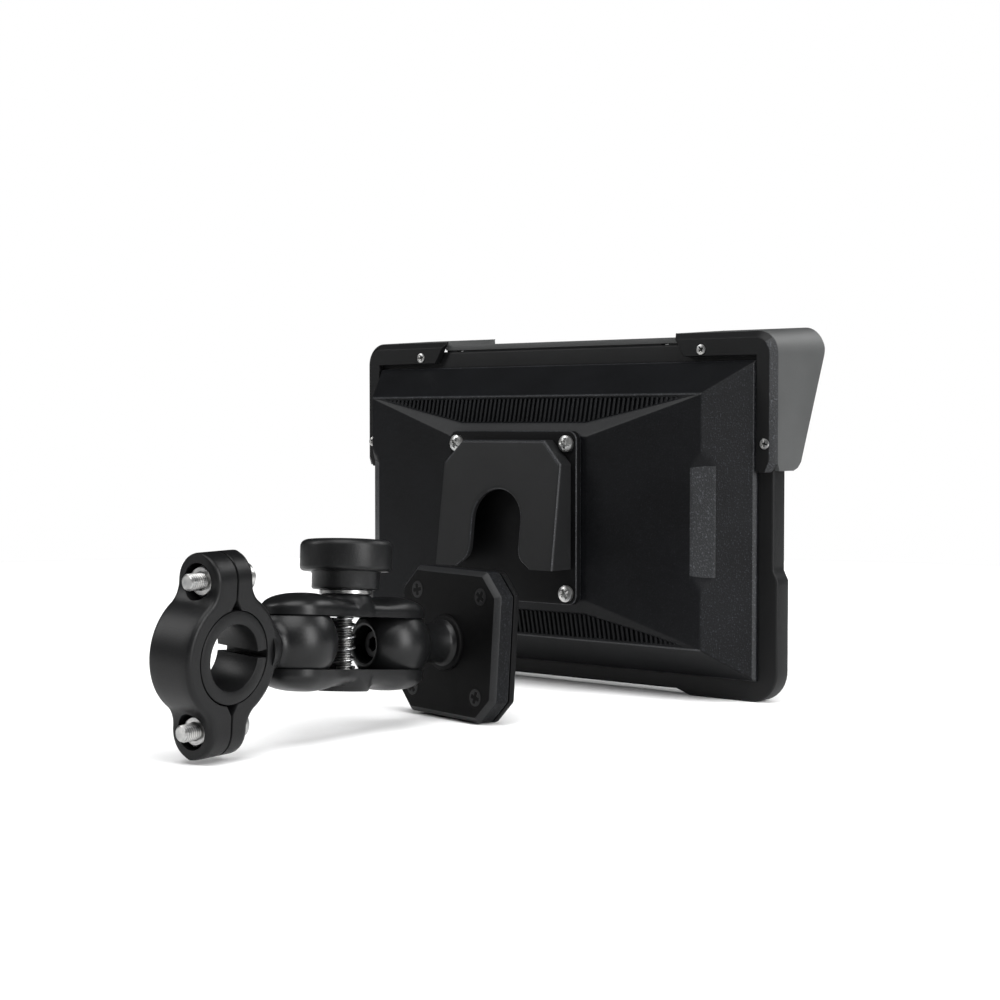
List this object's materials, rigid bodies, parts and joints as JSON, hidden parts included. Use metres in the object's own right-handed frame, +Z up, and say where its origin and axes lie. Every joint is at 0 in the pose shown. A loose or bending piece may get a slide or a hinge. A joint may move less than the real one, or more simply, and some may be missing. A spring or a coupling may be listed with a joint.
{
  "type": "rear-view monitor with ball mount",
  "caption": "Flat rear-view monitor with a clip-on sunshade and a rear docking bracket, with a loose double-ball mount that ends in a bar clamp and an eight-sided plate.",
  "frame": {"origin": "middle of the footprint of the monitor and the mount, on the surface that both stand on", "axes": "+Y from the mount towards the monitor's screen side, +X to the right seen from behind, +Z up"},
  "size_m": [0.1926, 0.2454, 0.1295],
  "materials": {
    "frame_plastic": "fine-grained black",
    "shell_plastic": "grained charcoal black",
    "shade_plastic": "satin and grained dark grey",
    "bracket_plastic": "satin black",
    "key_plastic": "matte black",
    "speaker_black": "black",
    "socket_black": "matte black",
    "knob_plastic": "satin black nylon",
    "clamp_nylon": "satin black glass-filled nylon",
    "sleeve_nylon": "matte black nylon",
    "mount_black": "satin black powder coat on cast aluminium",
    "black_screw": "black oxide",
    "zinc_steel": "bright zinc plate",
    "spring_steel": "bright drawn wire",
    "brass": "machined",
    "screen_glass": "anti-glare black",
    "lcd": "dark panel, switched off",
    "foam": "closed-cell foam",
    "circuit_board": "green solder mask"
  },
  "bodies": {
    "monitor": {"front_bezel": "frame_plastic", "rear_shell": "shell_plastic", "cover_glass": "screen_glass", "panel_gasket": "foam", "lcd_panel": "lcd", "lcd_frame": "zinc_steel", "main_board": "circuit_board", "board_screws": "zinc_steel", "speaker": "speaker_black", "cable_socket": "socket_black", "key_board": "circuit_board", "sunshade": "shade_plastic", "sunshade_screws": "zinc_steel", "dock_bracket": "bracket_plastic", "bracket_screws": "zinc_steel"},
    "arm_lower": {"arm_lower": "mount_black", "arm_bolt": "zinc_steel", "arm_spring": "spring_steel"},
    "arm_upper": {"arm_upper": "mount_black", "arm_washer": "zinc_steel"},
    "knob": {"knob": "knob_plastic", "knob_insert": "brass"},
    "plate": {"ball_plate": "mount_black", "plate_ball": "mount_black", "plate_ball_screw": "black_screw", "backing_plate": "mount_black", "plate_screws": "black_screw"},
    "clamp": {"clamp_body": "clamp_nylon", "clamp_ball": "mount_black", "clamp_ball_screw": "black_screw", "clamp_sleeve": "sleeve_nylon"},
    "clamp_cap": {"clamp_cap": "clamp_nylon", "clamp_nut_top": "zinc_steel", "clamp_nut_bottom": "zinc_steel"},
    "clamp_bolt_top": {"clamp_bolt_top": "zinc_steel"},
    "clamp_bolt_bottom": {"clamp_bolt_bottom": "zinc_steel"},
    "key_1": {"key_1": "key_plastic"},
    "key_2": {"key_2": "key_plastic"},
    "key_3": {"key_3": "key_plastic"},
    "key_4": {"key_4": "key_plastic"},
    "key_5": {"key_5": "key_plastic"},
    "key_6": {"key_6": "key_plastic"}
  },
  "joints": [
    {"name": "key_1_press", "type": "slide", "parent": "monitor", "child": "key_1", "axis": [0, -1, 0], "range_m": [0, 0.0005], "stiffness_N_per_m": 400},
    {"name": "key_2_press", "type": "slide", "parent": "monitor", "child": "key_2", "axis": [0, -1, 0], "range_m": [0, 0.0005], "stiffness_N_per_m": 400},
    {"name": "key_3_press", "type": "slide", "parent": "monitor", "child": "key_3", "axis": [0, -1, 0], "range_m": [0, 0.0005], "stiffness_N_per_m": 400},
    {"name": "key_4_press", "type": "slide", "parent": "monitor", "child": "key_4", "axis": [0, -1, 0], "range_m": [0, 0.0005], "stiffness_N_per_m": 400},
    {"name": "key_5_press", "type": "slide", "parent": "monitor", "child": "key_5", "axis": [0, -1, 0], "range_m": [0, 0.0005], "stiffness_N_per_m": 400},
    {"name": "key_6_press", "type": "slide", "parent": "monitor", "child": "key_6", "axis": [0, -1, 0], "range_m": [0, 0.0005], "stiffness_N_per_m": 400},
    {"name": "mount_lift", "type": "slide", "parent": "monitor", "child": "arm_lower", "axis": [0, 0, 1], "range_m": [0, 0.18]},
    {"name": "arm_open", "type": "slide", "parent": "arm_lower", "child": "arm_upper", "axis": [-0.0615, 0.0993, 0.9932], "range_m": [0, 0.0016], "deforming": ["arm_spring"]},
    {"name": "knob_turn", "type": "hinge", "parent": "arm_upper", "child": "knob", "pos_m": [0.0274, -0.0468, 0.0286], "axis": [-0.0615, 0.0993, 0.9932], "range_deg": [0, 720]},
    {"name": "plate_swing", "type": "hinge", "parent": "arm_lower", "child": "plate", "pos_m": [0.02541, -0.02401, 0.0262], "axis": [-0.0615, 0.0993, 0.9932], "range_deg": [-60, 60]},
    {"name": "clamp_swing", "type": "hinge", "parent": "arm_lower", "child": "clamp", "pos_m": [0.02939, -0.06959, 0.031], "axis": [-0.0615, 0.0993, 0.9932], "range_deg": [-50, 50]},
    {"name": "clamp_bolt_top_turn", "type": "hinge", "parent": "clamp", "child": "clamp_bolt_top", "pos_m": [0.03337, -0.10361, 0.05178], "axis": [-0.069, 0.9976, 0.0104], "range_deg": [0, 1800]},
    {"name": "clamp_bolt_bottom_turn", "type": "hinge", "parent": "clamp", "child": "clamp_bolt_bottom", "pos_m": [0.03009, -0.1034, 0.00951], "axis": [-0.069, 0.9976, 0.0104], "range_deg": [0, 1800]},
    {"name": "clamp_cap_slide", "type": "slide", "parent": "clamp", "child": "clamp_cap", "axis": [0.069, -0.9976, -0.0104], "range_m": [0, 0.004]}
  ],
  "couplings": [
    {"joint": "knob_turn", "follows": "arm_open", "rad_per_m": 7853.9},
    {"joint": "clamp_bolt_top_turn", "follows": "clamp_cap_slide", "rad_per_m": 7853.9},
    {"joint": "clamp_bolt_bottom_turn", "follows": "clamp_cap_slide", "rad_per_m": 7853.9}
  ]
}
